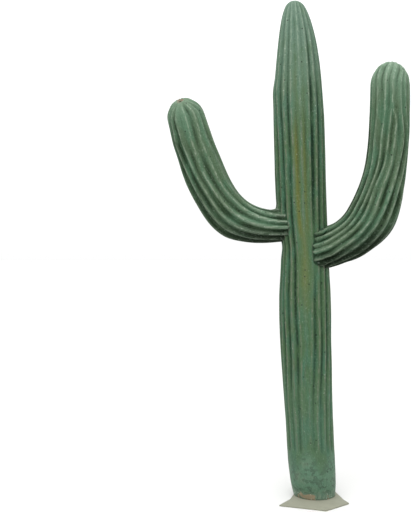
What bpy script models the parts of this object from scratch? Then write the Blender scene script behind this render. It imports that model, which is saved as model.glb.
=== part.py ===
# A moulded artificial saguaro, 3 m tall, in metres with +Z up: a ribbed trunk with two ribbed arms
# that curve upwards, standing on a thin cut plate. The origin is on the plate's underside, below the
# middle of the trunk's foot. The front faces -Y, and the left arm reaches towards -X.

import math

import bmesh
import bpy
import numpy as np
from mathutils import Vector
from mathutils.geometry import interpolate_bezier

OBJECT_NAME = "artificial_cactus"

# The whole object
HEIGHT = 3.000
CLEARANCE = 0.0003

# The plate: its corners, from the front left one round to the right
PLATE_THICKNESS = 0.008
PLATE_CORNERS = (
    (-0.232, -0.207),
    (0.026, -0.298),
    (0.179, -0.171),
    (0.159, -0.108),
    (0.140, 0.015),
    (0.125, 0.160),
    (-0.106, 0.150),
    (-0.124, -0.003),
    (-0.158, -0.100),
)

# The trunk: its middle drifts sideways as it rises, and its radius is that of the ridges.
# Heights are above the foot.
TRUNK_FOOT = PLATE_THICKNESS + CLEARANCE
TRUNK_HEIGHT = HEIGHT - TRUNK_FOOT
TRUNK_DRIFT = (
    (0.0, 0.0),
    (0.15, -0.013),
    (0.40, -0.027),
    (1.20, -0.057),
    (1.42, -0.058),
    (1.70, -0.075),
    (2.30, -0.094),
    (2.75, -0.104),
    (3.0, -0.121),
)
TRUNK_RADIUS = (
    (0.0, 0.126),
    (0.13, 0.141),
    (0.45, 0.146),
    (1.20, 0.1565),
    (1.44, 0.146),
    (1.70, 0.1535),
    (2.30, 0.156),
)
TRUNK_TIP_LENGTH = 0.720
TRUNK_TIP_POWER = 1.4
TRUNK_TIP_BLUNTNESS = 0.372
TRUNK_RIBS = 20
TRUNK_RIDGE_ANGLE = math.radians(-3.3)
TRUNK_RIB_DEPTH = 0.011
TRUNK_RIBS_START = 0.22
TRUNK_RIBS_FULL = 0.80
TRUNK_ROW_SPACING = 0.10
TRUNK_TIP_ROWS = 12

# The arms: each middle line is one curve in an upright plane through the trunk, given by how far
# out and how high its ends and handles are. Radii are those of the ridges, at shares of its length.
# The elbow is the rounded corner on the outside of the bend: its share, its spread and its height.
ARMS = {
    "left_arm": {
        "side": -1,
        "swing": math.radians(6.0),
        "line": ((0.0, 1.644), (0.484, 1.583), (0.529, 1.691), (0.744, 2.388)),
        "radius": ((0.0, 0.098), (0.12, 0.100), (0.34, 0.124), (0.56, 0.1275), (0.78, 0.123), (1.0, 0.115)),
        "elbow": (0.385, 0.070, 0.011),
        "tip_length": 0.138,
        "split": 0.50,
        "ribs": 14,
        "ridge_angle": math.radians(-6.0),
    },
    "right_arm": {
        "side": 1,
        "swing": math.radians(13.0),
        "line": ((0.0, 1.365), (0.228, 1.683), (0.527, 1.322), (0.500, 2.600)),
        "radius": ((0.0, 0.116), (0.12, 0.119), (0.34, 0.144), (0.56, 0.124), (0.78, 0.120), (1.0, 0.116)),
        "elbow": (0.325, 0.060, 0.008),
        "tip_length": 0.150,
        "split": 0.42,
        "ribs": 16,
        "ridge_angle": math.radians(-12.0),
    },
}
ARM_RIB_DEPTH = 0.012
ARM_ROW_SPACING = 0.085
ARM_TIP_ROWS = 6
LINE_STEPS = 200

# Each rib has a ridge, a groove and the middles of its two flanks.
POINTS_PER_RIB = 4
SHARP_EDGE = math.radians(50.0)

FRONT = Vector((0.0, -1.0, 0.0))
UP = Vector((0.0, 0.0, 1.0))


def clear_scene():
    for existing in list(bpy.data.objects):
        bpy.data.objects.remove(existing, do_unlink=True)


def new_collection(name):
    collection = bpy.data.collections.new(name)
    bpy.context.scene.collection.children.link(collection)
    return collection


def material(name, colour, roughness, metallic=0.0):
    made = bpy.data.materials.new(name)
    made.use_nodes = True
    shader = made.node_tree.nodes["Principled BSDF"]
    shader.inputs["Base Color"].default_value = (*colour, 1.0)
    shader.inputs["Roughness"].default_value = roughness
    shader.inputs["Metallic"].default_value = metallic
    return made


def smooth(knots, at):
    # The value at one place of the smooth curve through knots of (place, value).
    places, values = np.array(knots).T
    slopes = np.gradient(values, places)
    i = int(np.clip(np.searchsorted(places, at) - 1, 0, len(places) - 2))
    width = places[i + 1] - places[i]
    t = np.clip((at - places[i]) / width, 0.0, 1.0)
    rise = t * t * (3.0 - 2.0 * t)
    ends = values[i] * (1.0 - rise) + values[i + 1] * rise
    return ends + width * t * (1.0 - t) * (slopes[i] * (1.0 - t) - slopes[i + 1] * t)


def ramp(value, start, end):
    t = min(max((value - start) / (end - start), 0.0), 1.0)
    return t * t * (3.0 - 2.0 * t)


def groove(angle, ribs, ridge_angle):
    # 0 on a rounded ridge and 1 at the bottom of the narrow groove between two ridges.
    return 1.0 - abs(math.cos(ribs * (angle - ridge_angle) / 2.0))


def limb(name, around, sections, turn, first_angle):
    # A closed limb through sections from its tip to its foot, worked from a sphere: the rings
    # become the sections, and each pole goes to the middle of the section beside it, or beyond it
    # where a section comes with an apex. turn gives the radius at a section and an angle.
    rows = len(sections)
    bm = bmesh.new()
    bmesh.ops.create_uvsphere(bm, u_segments=around, v_segments=rows + 1, radius=1.0)
    for vertex in bm.verts:
        row = round(math.acos(max(-1.0, min(1.0, vertex.co.z))) / math.pi * (rows + 1))
        section = sections[min(max(row - 1, 0), rows - 1)]
        if row in (0, rows + 1):
            vertex.co = section["apex"] if "apex" in section else section["middle"]
            continue
        step = round(math.atan2(vertex.co.y, vertex.co.x) / math.tau * around)
        angle = first_angle + step * math.tau / around
        radius = turn(section, angle)
        spoke = section["across"] * math.cos(angle) + section["beyond"] * math.sin(angle)
        vertex.co = section["middle"] + spoke * radius
    mesh = bpy.data.meshes.new(name)
    bm.to_mesh(mesh)
    bm.free()
    mesh.shade_smooth()
    mesh.set_sharp_from_angle(angle=SHARP_EDGE)
    return bpy.data.objects.new(name, mesh)


def dome_share(step, steps):
    # Places along a rounded tip that crowd together towards its apex.
    return math.sin(math.pi / 2.0 * step / steps)


def trunk_middle(height):
    return Vector((smooth(TRUNK_DRIFT, height), 0.0, TRUNK_FOOT + height))


def trunk_radius(height):
    tip_start = TRUNK_HEIGHT - TRUNK_TIP_LENGTH
    body = smooth(TRUNK_RADIUS, min(height, tip_start))
    if height <= tip_start:
        return body
    share = min((height - tip_start) / TRUNK_TIP_LENGTH, 1.0)
    return body * (1.0 - share**TRUNK_TIP_POWER) ** TRUNK_TIP_BLUNTNESS


def trunk(name, grown=0.0):
    # grown makes the same trunk thicker all round, for the cutter that keeps the arms clear.
    tip_start = TRUNK_HEIGHT - TRUNK_TIP_LENGTH
    body_rows = round(tip_start / TRUNK_ROW_SPACING)
    heights = [tip_start * row / body_rows for row in range(body_rows + 1)]
    heights += [
        tip_start + TRUNK_TIP_LENGTH * dome_share(row, TRUNK_TIP_ROWS) for row in range(1, TRUNK_TIP_ROWS)
    ]
    sections = [
        {
            "height": height,
            "middle": trunk_middle(height),
            "across": FRONT,
            "beyond": UP.cross(FRONT),
            "radius": trunk_radius(height),
        }
        for height in reversed(heights)
    ]
    sections[0]["apex"] = trunk_middle(TRUNK_HEIGHT)
    widest = max(section["radius"] for section in sections)

    def turn(section, angle):
        depth = TRUNK_RIB_DEPTH * section["radius"] / widest
        depth *= ramp(section["height"], TRUNK_RIBS_START, TRUNK_RIBS_FULL)
        return section["radius"] + grown - depth * groove(angle, TRUNK_RIBS, TRUNK_RIDGE_ANGLE)

    return limb(name, TRUNK_RIBS * POINTS_PER_RIB, sections, turn, TRUNK_RIDGE_ANGLE)


class ArmLine:
    # The middle line of an arm, with its places measured along it from the trunk's middle.

    def __init__(self, arm):
        out = Vector((arm["side"] * math.cos(arm["swing"]), -math.sin(arm["swing"]), 0.0))
        root_height = arm["line"][0][1]
        trunk_x = trunk_middle(root_height - TRUNK_FOOT).x
        ends = [Vector((trunk_x, 0.0, 0.0)) + out * reach + UP * height for reach, height in arm["line"]]
        self.points = interpolate_bezier(*ends, LINE_STEPS)
        steps = [(b - a).length for a, b in zip(self.points, self.points[1:])]
        self.places = np.concatenate(([0.0], np.cumsum(steps)))
        self.length = float(self.places[-1])
        self.face = out.cross(UP) * arm["side"]

    def at(self, place):
        i = int(np.clip(np.searchsorted(self.places, place) - 1, 0, len(self.points) - 2))
        share = (place - self.places[i]) / (self.places[i + 1] - self.places[i])
        return self.points[i].lerp(self.points[i + 1], share)

    def section(self, place, arm):
        reach = self.length / LINE_STEPS
        low = self.at(max(place - reach, 0.0))
        high = self.at(min(place + reach, self.length))
        forward = (high - low).normalized()
        dome = max(0.0, 1.0 - (self.length - place) / arm["tip_length"])
        elbow, spread, height = arm["elbow"]
        return {
            "middle": self.at(place),
            "across": self.face,
            "beyond": forward.cross(self.face),
            "radius": smooth(arm["radius"], place / self.length) * math.sqrt(1.0 - dome * dome),
            "corner": height * math.exp(-(((place / self.length - elbow) / spread) ** 2)),
        }


def arm_piece(name, arm, start, end, domed):
    # The stretch of an arm from start to end along its middle line.
    line = ArmLine(arm)
    start = start * line.length
    end = end * line.length
    body_end = end - arm["tip_length"] if domed else end
    rows = round((body_end - start) / ARM_ROW_SPACING)
    places = [start + (body_end - start) * row / rows for row in range(rows + 1)]
    if domed:
        places += [
            body_end + arm["tip_length"] * dome_share(row, ARM_TIP_ROWS) for row in range(1, ARM_TIP_ROWS)
        ]
    sections = [line.section(place, arm) for place in reversed(places)]
    if domed:
        sections[0]["apex"] = line.at(end)
    widest = max(radius for _, radius in arm["radius"])

    def turn(section, angle):
        depth = ARM_RIB_DEPTH * section["radius"] / widest
        outside = max(0.0, arm["side"] * math.sin(angle))
        radius = section["radius"] + section["corner"] * outside**2
        return radius - depth * groove(angle, arm["ribs"], arm["ridge_angle"])

    return limb(name, arm["ribs"] * POINTS_PER_RIB, sections, turn, arm["ridge_angle"])


def plate(name):
    outline = bpy.data.curves.new(name + "_outline", "CURVE")
    outline.dimensions = "2D"
    outline.fill_mode = "BOTH"
    outline.extrude = PLATE_THICKNESS / 2.0
    edge = outline.splines.new("POLY")
    edge.points.add(len(PLATE_CORNERS) - 1)
    for point, corner in zip(edge.points, PLATE_CORNERS):
        point.co = (*corner, 0.0, 1.0)
    edge.use_cyclic_u = True
    curve = bpy.data.objects.new(name + "_curve", outline)
    curve.location.z = PLATE_THICKNESS / 2.0
    bpy.context.scene.collection.objects.link(curve)
    bpy.context.view_layer.update()
    evaluated = curve.evaluated_get(bpy.context.evaluated_depsgraph_get())
    mesh = bpy.data.meshes.new_from_object(evaluated)
    bm = bmesh.new()
    bm.from_mesh(mesh)
    bmesh.ops.remove_doubles(bm, verts=bm.verts, dist=1e-5)
    bm.to_mesh(mesh)
    bm.free()
    solid = bpy.data.objects.new(name, mesh)
    solid.matrix_world = curve.matrix_world
    bpy.data.objects.remove(curve, do_unlink=True)
    bpy.data.curves.remove(outline)
    return solid


def cut(piece, cutter):
    modifier = piece.modifiers.new("clear_of_trunk", "BOOLEAN")
    modifier.operation = "DIFFERENCE"
    modifier.object = cutter
    modifier.solver = "EXACT"


def build():
    clear_scene()
    parts = new_collection(OBJECT_NAME)
    cutters = new_collection(OBJECT_NAME + "_cutters")
    green = material("moulded_green_paint", (0.105, 0.160, 0.098), 0.55)
    arm_green = material("moulded_arm_green_paint", (0.095, 0.150, 0.090), 0.55)
    grey = material("plate_grey_paint", (0.380, 0.385, 0.290), 0.75)

    base = plate("base_plate")
    base.data.materials.append(grey)
    parts.objects.link(base)

    body = trunk("trunk")
    body.data.materials.append(green)
    parts.objects.link(body)

    clearing = trunk("trunk_clearance", CLEARANCE)
    clearing.hide_render = True
    clearing.display_type = "WIRE"
    cutters.objects.link(clearing)

    for name, arm in ARMS.items():
        gap_share = CLEARANCE / ArmLine(arm).length
        lower = arm_piece(name + "_lower", arm, 0.0, arm["split"], domed=False)
        upper = arm_piece(name + "_upper", arm, arm["split"] + gap_share, 1.0, domed=True)
        cut(lower, clearing)
        for piece in (lower, upper):
            piece.data.materials.append(arm_green)
            parts.objects.link(piece)


build()
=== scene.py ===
import math

import bmesh
import bpy
import numpy as np
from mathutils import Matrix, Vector, noise
from mathutils.geometry import interpolate_bezier


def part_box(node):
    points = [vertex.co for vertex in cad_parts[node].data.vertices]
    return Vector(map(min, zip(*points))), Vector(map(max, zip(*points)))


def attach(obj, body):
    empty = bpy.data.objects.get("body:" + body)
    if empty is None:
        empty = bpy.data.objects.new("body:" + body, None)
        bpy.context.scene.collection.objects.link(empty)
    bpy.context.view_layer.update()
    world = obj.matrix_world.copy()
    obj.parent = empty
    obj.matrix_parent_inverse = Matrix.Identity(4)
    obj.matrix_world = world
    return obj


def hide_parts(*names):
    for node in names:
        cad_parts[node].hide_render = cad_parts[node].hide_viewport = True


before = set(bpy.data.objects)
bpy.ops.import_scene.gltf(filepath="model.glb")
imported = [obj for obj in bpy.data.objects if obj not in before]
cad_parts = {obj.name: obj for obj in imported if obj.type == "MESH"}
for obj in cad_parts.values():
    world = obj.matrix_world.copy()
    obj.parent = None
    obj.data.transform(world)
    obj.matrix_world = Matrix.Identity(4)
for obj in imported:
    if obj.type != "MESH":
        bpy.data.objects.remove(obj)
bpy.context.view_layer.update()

# A moulded, hand-painted saguaro, 3 m tall, on a thin grey plate. Metres, +Z up, front towards -Y.
body = "root"
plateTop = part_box("base_plate")[1].z
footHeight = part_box("trunk")[0].z
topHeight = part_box("trunk")[1].z
front = np.array((0.0, -1.0, 0.0))
up = np.array((0.0, 0.0, 1.0))
mm = 0.001
farAway = 1.0                 # a gap too wide to matter

print("stage: lights and camera")

studio = {
    "floorRadius": 200.0,
    "floorColour": "#dcdcdb",
    "horizonStrength": 1.0,   # the floor then looks as bright as the sky above it
    "zenithStrength": 1.92,
    "sideStrength": 0.55,     # dark cloths on both sides, out of the picture, model the round forms
    "sideSpan": (0.45, 0.90),
    "overheadPower": 100.0,
    "overheadSize": 4.0,
    "overheadPlace": (-1.3, -2.2, 6.0),
    "overheadAim": (0.0, 0.0, 1.5),
    "eyePlace": (-0.6588, -4.648, 1.449),
    "lens": 53.94,
    "sensor": 36.0,
}


def colour(code):
    # sRGB hex to the linear colour that a shader wants
    parts = [int(code[i:i + 2], 16) / 255.0 for i in (1, 3, 5)]
    linear = [p / 12.92 if p <= 0.04045 else ((p + 0.055) / 1.055) ** 2.4 for p in parts]
    return (*linear, 1.0)


def addNode(tree, kind, inputs, **settings):
    # one node with its settings; an input is a number, a colour or another node's output
    node = tree.nodes.new(kind)
    for name, value in settings.items():
        setattr(node, name, value)
    for name, value in inputs.items():
        if isinstance(value, bpy.types.NodeSocket):
            tree.links.new(value, node.inputs[name])
        else:
            node.inputs[name].default_value = value
    return node


def combine(tree, how, *values):
    return addNode(tree, "ShaderNodeMath", dict(enumerate(values)), operation=how).outputs[0]


def remap(tree, value, given, wanted, **settings):
    # a value that runs over the first span becomes one that runs over the second
    return addNode(tree, "ShaderNodeMapRange", {
        "Value": value, "From Min": given[0], "From Max": given[1],
        "To Min": wanted[0], "To Max": wanted[1]}, **settings).outputs[0]


def newMaterial(name):
    made = bpy.data.materials.new(name)
    made.use_nodes = True
    made.node_tree.nodes.clear()
    return made, made.node_tree


def place(piece):
    bpy.context.scene.collection.objects.link(piece)
    return piece


def buildStage():
    made, tree = newMaterial("rolledMattEmulsion")  # flat studio floor paint, no shine
    shader = addNode(tree, "ShaderNodeBsdfPrincipled", {
        "Base Color": colour(studio["floorColour"]), "Roughness": 0.9, "Specular IOR Level": 0.1})
    addNode(tree, "ShaderNodeOutputMaterial", {"Surface": shader.outputs[0]})
    bm = bmesh.new()
    bmesh.ops.create_circle(bm, cap_ends=True, segments=96, radius=studio["floorRadius"])
    mesh = bpy.data.meshes.new("studioFloor")
    bm.to_mesh(mesh)
    bm.free()
    floor = place(bpy.data.objects.new("studioFloor", mesh))
    mesh.materials.append(made)

    world = bpy.data.worlds.new("softSky")
    world.use_nodes = True
    tree = world.node_tree
    where = addNode(tree, "ShaderNodeTexCoord", {}).outputs["Generated"]
    parts = addNode(tree, "ShaderNodeSeparateXYZ", {"Vector": where})
    glow = remap(tree, parts.outputs["Z"], (0.0, 1.0), (studio["horizonStrength"], studio["zenithStrength"]))
    aside = combine(tree, "ABSOLUTE", parts.outputs["X"])
    shade = remap(tree, aside, studio["sideSpan"], (1.0, studio["sideStrength"]),
                  interpolation_type="SMOOTHSTEP")
    glow = combine(tree, "MULTIPLY", glow, shade)
    tree.nodes["Background"].inputs["Color"].default_value = (1.0, 1.0, 1.0, 1.0)
    tree.links.new(glow, tree.nodes["Background"].inputs["Strength"])
    bpy.context.scene.world = world

    lamp = bpy.data.lights.new("overheadSoftbox", "AREA")
    lamp.shape = "DISK"
    lamp.size = studio["overheadSize"]
    lamp.energy = studio["overheadPower"]
    holder = place(bpy.data.objects.new("overheadSoftbox", lamp))
    holder.location = studio["overheadPlace"]
    away = holder.location - Vector(studio["overheadAim"])
    holder.rotation_euler = away.to_track_quat("Z", "Y").to_euler()

    eye = bpy.data.cameras.new("standingEye")
    eye.sensor_width = studio["sensor"]
    eye.lens = studio["lens"]
    camera = place(bpy.data.objects.new("standingEye", eye))
    camera.location = studio["eyePlace"]
    camera.rotation_euler = (math.pi / 2.0, 0.0, 0.0)
    bpy.context.scene.camera = camera
    bpy.context.scene.view_settings.view_transform = "Standard"


buildStage()

print("stage: limb tools")


def smooth(knots, at):
    # values of the smooth curve through knots of (place, value), for one place or an array of them
    places, values = np.array(knots, float).T
    slopes = np.gradient(values, places)
    at = np.asarray(at, float)
    i = np.clip(np.searchsorted(places, at) - 1, 0, len(places) - 2)
    width = places[i + 1] - places[i]
    t = np.clip((at - places[i]) / width, 0.0, 1.0)
    rise = t * t * (3.0 - 2.0 * t)
    ends = values[i] * (1.0 - rise) + values[i + 1] * rise
    return ends + width * t * (1.0 - t) * (slopes[i] * (1.0 - t) - slopes[i + 1] * t)


def ramp(value, start, end):
    t = np.clip((value - start) / (end - start), 0.0, 1.0)
    return t * t * (3.0 - 2.0 * t)


def bell(value, middle, width):
    return np.exp(-(((value - middle) / width) ** 2))


def softNoise(points, sizes, seed):
    # soft noise between -1 and 1 whose lumps have these sizes, at each of an array of points
    points = np.asarray(points, float)
    scaled = points.reshape(-1, 3) / sizes + (seed * 17.3, seed * 5.1, seed * 9.7)
    return np.array([noise.noise(p) for p in scaled.tolist()]).reshape(points.shape[:-1])


def wander(places, count, size, seed):
    # count slow changes between -1 and 1 along a limb, one for each rib
    k = np.arange(count) * 7.31
    points = np.stack(np.broadcast_arrays(places[:, None] / size, k[None, :], float(seed)), axis=-1)
    return softNoise(points, 1.0, seed)


def ribAngles(limb, shares, walks):
    # each ridge's angle at each place: evenly spaced, but for the measured strays on the front ones
    pitch = 360.0 / limb["ribs"]
    angles = limb["firstRidge"] + np.arange(limb["ribs"]) * pitch + np.zeros((len(shares), 1))
    strays = np.array(limb["strays"], float)
    for k in range(strays.shape[1]):
        column = (limb["firstStray"] + k) % limb["ribs"]
        angles[:, column] += smooth(np.column_stack((limb["strayPlaces"], strays[:, k])), shares)
    angles += limb["wanderAngle"] * walks
    # ridges that would meet stay a degree apart
    for column in range(1, limb["ribs"]):
        angles[:, column] = np.maximum(angles[:, column], angles[:, column - 1] + 1.0)
    return np.radians(angles)


def ribField(limb, turns, ridges, depths):
    # For each point on a grid: where it is between two ridges (0 on either, 0.5 in the groove), and
    # how deep the groove beside it is.
    turn = 2.0 * math.pi
    count = limb["ribs"]
    apart = np.zeros_like(turns)
    depth = np.zeros_like(turns)
    for i, row in enumerate(turns):
        after = np.append(ridges[i][1:], ridges[i][0] + turn)
        knots = np.ravel(np.column_stack((ridges[i], (ridges[i] + after) / 2.0)))
        knots = np.concatenate((knots - turn, knots, knots + turn))
        phase = np.interp(row, knots, np.arange(len(knots)) / 2.0 - count)
        gaps = np.minimum((after - ridges[i]) * count / turn, 1.0)
        depth[i] = (depths[i] * gaps)[np.floor(phase).astype(int) % count]
        apart[i] = np.abs(phase - np.rint(phase))
    return apart, depth


def gridNormals(grid):
    downRows = np.gradient(grid, axis=0)
    roundColumns = np.roll(grid, -1, axis=1) - np.roll(grid, 1, axis=1)
    normals = np.cross(roundColumns, -downRows)
    return normals / np.maximum(np.linalg.norm(normals, axis=2, keepdims=True), 1e-12)


def fillMesh(name, grid, ends, marks, unbent):
    # A closed limb from a sphere whose rings become the grid's rows, tip first. ends are the tip's and
    # the foot's middles, marks are named values for the paint, and unbent is each point's place on the
    # limb as if it were straight.
    rows, around = grid.shape[:2]
    bm = bmesh.new()
    bmesh.ops.create_uvsphere(bm, u_segments=around, v_segments=rows + 1, radius=1.0)
    mesh = bpy.data.meshes.new(name)
    bm.to_mesh(mesh)
    bm.free()
    co = np.zeros(len(mesh.vertices) * 3)
    mesh.vertices.foreach_get("co", co)
    co = co.reshape(-1, 3)
    row = np.rint(np.arccos(np.clip(co[:, 2], -1.0, 1.0)) / math.pi * (rows + 1)).astype(int)
    column = np.rint(np.arctan2(co[:, 1], co[:, 0]) / (2.0 * math.pi) * around).astype(int) % around
    inner = np.clip(row - 1, 0, rows - 1)
    co = grid[inner, column]
    co[row == 0] = ends[0]
    co[row == rows + 1] = ends[1]
    mesh.vertices.foreach_set("co", co.ravel())
    for mark, values in marks.items():
        layer = mesh.attributes.new(mark, "FLOAT", "POINT")
        layer.data.foreach_set("value", np.broadcast_to(values, (rows, around))[inner, column].astype(float))
    layer = mesh.attributes.new("unbent", "FLOAT_VECTOR", "POINT")
    layer.data.foreach_set("vector", unbent[inner, column].astype(float).ravel())
    mesh.shade_smooth()
    mesh.update()
    return place(bpy.data.objects.new(name, mesh))


print("stage: trunk and arm shapes")

trunk = {
    "drift": ((0.0, 0.0), (0.15, -0.013), (0.40, -0.027), (1.20, -0.057), (1.42, -0.058), (1.70, -0.075),
              (2.30, -0.094), (2.75, -0.104), (3.0, -0.121)),
    "radius": ((0.0, 0.125), (0.03, 0.131), (0.06, 0.1355), (0.09, 0.138), (0.15, 0.141), (0.45, 0.146),
               (1.20, 0.1565), (1.44, 0.146), (1.70, 0.1535), (2.30, 0.156)),
    "hollows": (              # height, its spread, angle, its spread, and depth, or height where negative
        (1.50, 0.055, -90.0, 45.0, 11.0 * mm),
        (2.43, 0.075, -85.0, 32.0, -8.0 * mm),
        (0.94, 0.12, 88.0, 30.0, 4.0 * mm),
    ),
    "tipLength": 0.720,
    "tipPower": 1.4,
    "tipBluntness": 0.372,
    "tipSink": 5.0 * mm,      # the very tip is flattened by this, over the last tipSinkSpan
    "tipSinkSpan": 0.04,
    "ribs": 20,
    "pointsPerRib": 12,
    "firstRidge": -3.3,       # degrees from the front, towards the right
    "firstStray": -4,
    "strayPlaces": (0.0, 0.395, 0.576, 0.879, 1.20, 1.60, 2.00, 2.52, 3.0),
    "strays": (               # how far each front ridge strays, from the left to the right
        (-2.7, -3.7, -1.7, -2.7, -16.7, -22.1, -20.7, -20.7, -21.7, -20.7, -14.7, -7.7),
        (-2.7, -3.7, -1.7, -2.7, -16.7, -22.1, -20.7, -20.7, -21.7, -20.7, -14.7, -7.7),
        (-2.7, -4.7, -1.7, 0.3, -13.7, -20.0, -18.2, -17.7, -18.7, -18.0, -13.0, -7.0),
        (3.3, 2.3, 2.3, 4.8, -4.7, -10.7, -9.7, -10.2, -11.7, -11.0, -8.0, -4.0),
        (6.0, 0.0, 1.0, 0.0, -4.0, -6.0, -8.0, -9.0, -7.0, -5.0, -3.0, -1.0),
        (3.5, -0.5, -2.0, -2.5, -1.5, -2.0, -4.0, -3.5, -3.5, -2.0, -1.0, 0.0),
        (1.0, -1.0, 0.0, 0.0, 1.0, 1.0, 0.0, 2.0, 0.0, 0.0, 0.0, 0.0),
        (-6.0, -10.0, -4.0, -4.0, -1.0, 1.0, 1.0, 5.0, 3.0, 2.0, 1.0, 0.0),
        (-6.0, -10.0, -4.0, -4.0, -1.0, 1.0, 1.0, 5.0, 3.0, 2.0, 1.0, 0.0),
    ),
    "wanderAngle": 0.9,
    "wanderSize": 0.35,
    "grooveDepth": 12.0 * mm,
    "ribPower": 1.35,         # 1 makes round ridges and sharp grooves, 4 sharp ridges and wide valleys
    "panelGrooves": (-1, 0),  # the two faint grooves that make the wide front panel
    "panelShare": ((0.3, 0.65), (0.8, 0.35), (1.1, 0.18), (1.55, 0.25), (1.85, 0.4), (2.1, 0.62), (2.35, 0.5),
                   (2.6, 0.6), (2.8, 0.9), (3.0, 0.9)),
    "grooveShare": {          # the two deep grooves on either side of the panel
        -2: ((0.0, 1.0), (1.05, 1.0), (1.30, 1.15), (1.70, 1.15), (2.10, 1.0), (3.0, 1.0)),
        1: ((0.0, 0.7), (0.60, 0.7), (1.20, 0.85), (1.38, 0.4), (1.54, 0.4), (1.64, 1.0), (3.0, 1.0)),
    },
    "lateGrooves": (1, 2),    # these keep their depth further down than the others
    "ribsStart": 0.245,       # the grooves start at this height and soon have their first share of depth
    "ribsRise": 0.06,
    "ribsFirst": 0.75,
    "ribsFull": (0.60, 0.50),     # from here on comes the rest, the second height for the late ones
    "ribsFullRise": 0.2,
    "ribsFullSpread": 0.06,
    "crestFull": 0.38,
    "depthSpread": 0.25,      # how much, and over what length, the grooves differ in depth
    "depthSize": 0.5,
    "slimPower": 0.6,         # the grooves get shallower as the tip gets slimmer,
    "tipShallow": 0.36,       # and by this share more between two places below the tip
    "tipShallowSpan": (0.75, 0.40),
    "washPower": 1.0,
    "bodyRows": 316,
    "tipRows": 84,
    "seed": 1,
}
leftArm = {
    "name": "moulded_left_arm",
    "nodes": ("left_arm_lower", "left_arm_upper"),
    "side": -1,
    "swing": math.radians(6.0),
    "line": ((0.0, 1.644), (0.484, 1.583), (0.529, 1.691), (0.744, 2.388)),
    "radius": ((0.0, 0.098), (0.12, 0.100), (0.34, 0.124), (0.56, 0.1275), (0.78, 0.123), (1.0, 0.115)),
    "bulges": (               # on the outside of its bend: place, spread and height
        (0.385, 0.070, 11.0 * mm),
        (0.62, 0.11, 6.0 * mm),
        (0.335, 0.035, 5.0 * mm),
        (0.79, 0.045, 4.0 * mm),
        (0.895, 0.035, -3.0 * mm),
    ),
    "tipLength": 0.138,
    "ribs": 14,
    "pointsPerRib": 14,
    "firstRidge": -6.0,
    "firstStray": -2,
    "strayPlaces": (0.10, 0.18, 0.29, 0.39, 0.52, 0.635, 0.765, 0.85, 1.0),
    "strays": (
        (-3.0, -4.0, -4.0, -7.0, -8.0, -3.0),
        (2.0, 1.0, 0.0, -1.0, 1.0, 1.0),
        (9.0, 4.5, 8.0, 9.5, 9.0, 6.0),
        (9.5, 6.0, 7.0, 11.0, 10.0, 8.0),
        (7.0, 6.0, -0.5, 3.5, 0.0, 2.0),
        (1.5, -2.0, -6.5, 1.0, -3.0, 0.0),
        (-9.0, -7.0, -6.0, -3.0, -11.0, -10.0),
        (-3.0, -7.5, -4.5, 2.0, -10.0, -10.0),
        (-3.0, -7.5, -4.5, 2.0, -10.0, -10.0),
    ),
    "wanderAngle": 1.2,
    "wanderSize": 0.28,
    "grooveDepth": 14.5 * mm,
    "ribPower": ((0.0, 1.3), (0.15, 1.5), (0.32, 2.2), (0.55, 2.4), (1.0, 2.4)),
    "washPower": ((0.0, 1.3), (0.25, 1.3), (0.40, 1.6), (0.70, 1.6), (0.88, 1.0), (1.0, 1.0)),
    "washShare": ((0.0, 1.0), (0.45, 1.0), (0.62, 0.90), (0.85, 0.90), (0.95, 1.0), (1.0, 1.0)),
    "ribShare": ((0.0, 1.0), (0.60, 1.0), (0.85, 0.75), (1.0, 0.75)),
    "grooveShare": {          # shallow on the inside of its bend, deep and faint by turns at its tip
        -2: ((0.0, 1.0), (0.70, 1.0), (0.85, 1.4), (1.0, 1.4)),
        0: ((0.0, 1.0), (0.70, 1.0), (0.85, 1.4), (1.0, 1.4)),
        -1: ((0.0, 1.0), (0.70, 1.0), (0.85, 0.5), (1.0, 0.5)),
        1: ((0.0, 1.0), (0.20, 1.0), (0.33, 0.7), (0.50, 0.45), (0.70, 0.45), (0.85, 0.5), (1.0, 0.6)),
        2: ((0.0, 0.30), (0.30, 0.45), (0.50, 0.30), (0.70, 0.50), (0.85, 1.0), (1.0, 1.0)),
    },
    "pole": (0.48, -0.10),    # how far the ribs meet off the middle of the tip, in radii
    # painted shade on one side of its bend, added to the groove mark: angle, width, strength, and from where
    # to where
    "shades": ((-64.0, 34.0, 0.38, 0.15, 0.97),),
    # paler paint at its tip and on its root's ridges, partly painted light from above
    "tipPale": 0.6,
    "rootPale": 1.0,
    "rootSwell": 0.0,
    "pit": (1.0, 0.0, 17.0 * mm, 12.0 * mm),  # where its pit is, in share and degrees, its radius and depth
    "noses": ((-90.0, 80.0), (-60.0, 70.0), (-38.0, 59.0), (-13.0, 52.5), (10.0, 39.0), (35.5, 49.0),
              (60.0, 68.0), (90.0, 85.0)),  # for ribs from above to below the arm's middle, in degrees:
                                            # where they end on the trunk, in degrees from the front
    "seed": 3,
}
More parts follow.
